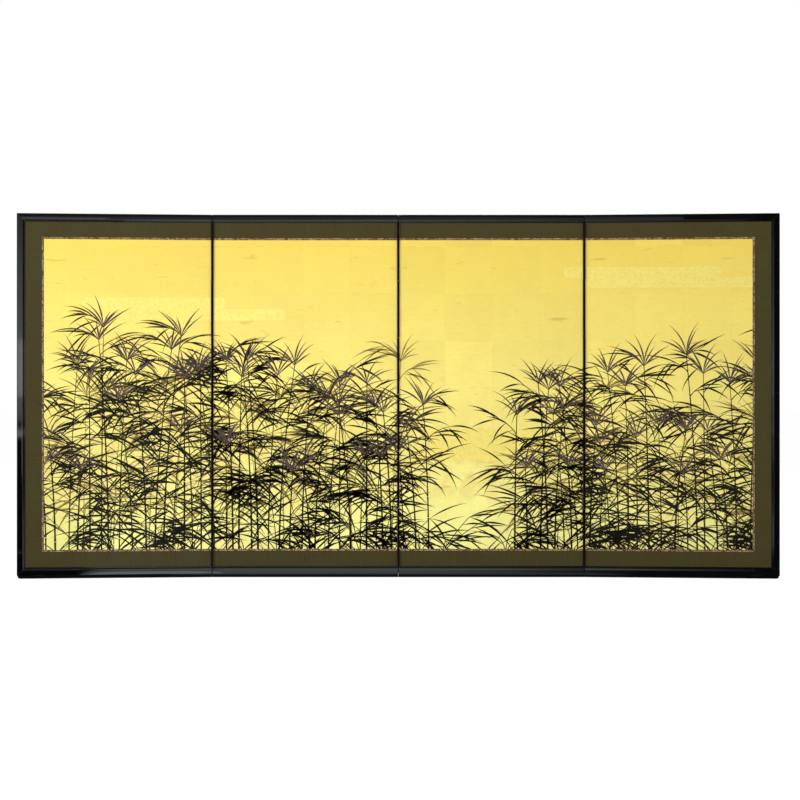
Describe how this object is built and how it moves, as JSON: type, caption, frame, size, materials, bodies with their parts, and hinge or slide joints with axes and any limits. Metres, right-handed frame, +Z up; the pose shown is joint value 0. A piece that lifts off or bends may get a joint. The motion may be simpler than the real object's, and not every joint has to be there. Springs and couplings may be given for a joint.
{
  "type": "byobu folding screen",
  "caption": "Low byobu folding screen: papered lattice panels with a gold-leaf picture, silk brocade border, lacquered frame and paper hinges that fold it flat.",
  "frame": {"origin": "on the floor, at the middle of the outline of the standing screen", "axes": "+X along the screen towards panel 4, +Y from the picture side to the back, +Z up"},
  "size_m": [1.7426, 0.0513, 0.8345],
  "materials": {
    "black_lacquer": "gloss black lacquer on wood",
    "glide_strip": "satin black stain",
    "fold_slip_lacquer": "satin dark brown lacquer",
    "cedar_lattice": "planed",
    "bamboo_pins": "split",
    "lining_paper": "matt",
    "gold_leaf_picture": "gold leaf squares with ink painting",
    "silk_brocade": "woven silk, self-coloured figure",
    "trim_braid": "narrow braid with gilt thread",
    "back_paper": "matt",
    "hinge_paper": "dyed mulberry paper"
  },
  "bodies": {
    "panel_1": {"panel_1_core_frame": "cedar_lattice", "panel_1_core_uprights": "cedar_lattice", "panel_1_core_crossbars": "cedar_lattice", "panel_1_frame_pins": "bamboo_pins", "panel_1_lining_papers": "lining_paper", "panel_1_picture": "gold_leaf_picture", "panel_1_brocade_border": "silk_brocade", "panel_1_trim_line": "trim_braid", "panel_1_back_paper": "back_paper", "panel_1_top_rail": "black_lacquer", "panel_1_bottom_rail": "black_lacquer", "panel_1_glide_strip": "glide_strip", "panel_1_fold_slips": "fold_slip_lacquer", "panel_1_end_stile": "black_lacquer"},
    "panel_2": {"panel_2_core_frame": "cedar_lattice", "panel_2_core_uprights": "cedar_lattice", "panel_2_core_crossbars": "cedar_lattice", "panel_2_frame_pins": "bamboo_pins", "panel_2_lining_papers": "lining_paper", "panel_2_picture": "gold_leaf_picture", "panel_2_brocade_border": "silk_brocade", "panel_2_trim_line": "trim_braid", "panel_2_back_paper": "back_paper", "panel_2_top_rail": "black_lacquer", "panel_2_bottom_rail": "black_lacquer", "panel_2_glide_strip": "glide_strip", "panel_2_fold_slips": "fold_slip_lacquer", "hinge_papers_12": "hinge_paper", "hinge_papers_23": "hinge_paper"},
    "panel_3": {"panel_3_core_frame": "cedar_lattice", "panel_3_core_uprights": "cedar_lattice", "panel_3_core_crossbars": "cedar_lattice", "panel_3_frame_pins": "bamboo_pins", "panel_3_lining_papers": "lining_paper", "panel_3_picture": "gold_leaf_picture", "panel_3_brocade_border": "silk_brocade", "panel_3_trim_line": "trim_braid", "panel_3_back_paper": "back_paper", "panel_3_top_rail": "black_lacquer", "panel_3_bottom_rail": "black_lacquer", "panel_3_glide_strip": "glide_strip", "panel_3_fold_slips": "fold_slip_lacquer", "hinge_papers_34": "hinge_paper"},
    "panel_4": {"panel_4_core_frame": "cedar_lattice", "panel_4_core_uprights": "cedar_lattice", "panel_4_core_crossbars": "cedar_lattice", "panel_4_frame_pins": "bamboo_pins", "panel_4_lining_papers": "lining_paper", "panel_4_picture": "gold_leaf_picture", "panel_4_brocade_border": "silk_brocade", "panel_4_trim_line": "trim_braid", "panel_4_back_paper": "back_paper", "panel_4_top_rail": "black_lacquer", "panel_4_bottom_rail": "black_lacquer", "panel_4_glide_strip": "glide_strip", "panel_4_fold_slips": "fold_slip_lacquer", "panel_4_end_stile": "black_lacquer"}
  },
  "joints": [
    {"name": "fold_1_2", "type": "hinge", "parent": "panel_2", "child": "panel_1", "pos_m": [-0.428, 0.00436, 0.41725], "axis": [0, 0, 1], "range_deg": [-4, 176], "deforming": ["hinge_papers_12"]},
    {"name": "fold_2_3", "type": "hinge", "parent": "panel_2", "child": "panel_3", "pos_m": [0, 0.02616, 0.41725], "axis": [0, 0, 1], "range_deg": [0, 180], "deforming": ["hinge_papers_23"]},
    {"name": "fold_3_4", "type": "hinge", "parent": "panel_3", "child": "panel_4", "pos_m": [0.428, 0.00436, 0.41725], "axis": [0, 0, -1], "range_deg": [-4, 172.5], "deforming": ["hinge_papers_34"]}
  ]
}
